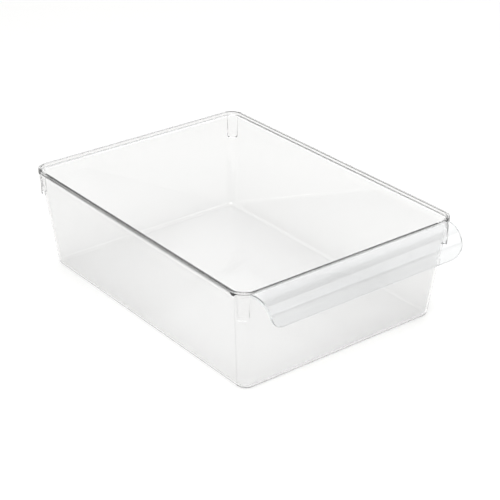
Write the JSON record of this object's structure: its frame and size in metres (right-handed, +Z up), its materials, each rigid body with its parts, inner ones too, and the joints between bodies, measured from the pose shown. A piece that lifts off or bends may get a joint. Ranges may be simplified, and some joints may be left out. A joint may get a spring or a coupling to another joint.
{
  "type": "fridge bin",
  "caption": "Clear plastic fridge bin: a drafted rectangular tray with rounded corners, a stepped rim, corner lugs under it and a curved pull handle across the front.",
  "frame": {"origin": "bottom centre of the whole bin, handle included, on the surface it stands on", "axes": "+X across the width, +Y from the handle towards the back, +Z up"},
  "size_m": [0.21, 0.3042, 0.088],
  "materials": {
    "clear_polystyrene": "clear, glossy, injection moulded"
  },
  "bodies": {
    "root": {"floor_panel": "clear_polystyrene", "back_wall": "clear_polystyrene", "left_wall": "clear_polystyrene", "front_wall": "clear_polystyrene", "right_wall": "clear_polystyrene", "rim_band": "clear_polystyrene", "pull_handle": "clear_polystyrene", "back_right_lug": "clear_polystyrene", "back_left_lug": "clear_polystyrene", "front_left_lug": "clear_polystyrene", "front_right_lug": "clear_polystyrene"}
  },
  "joints": []
}
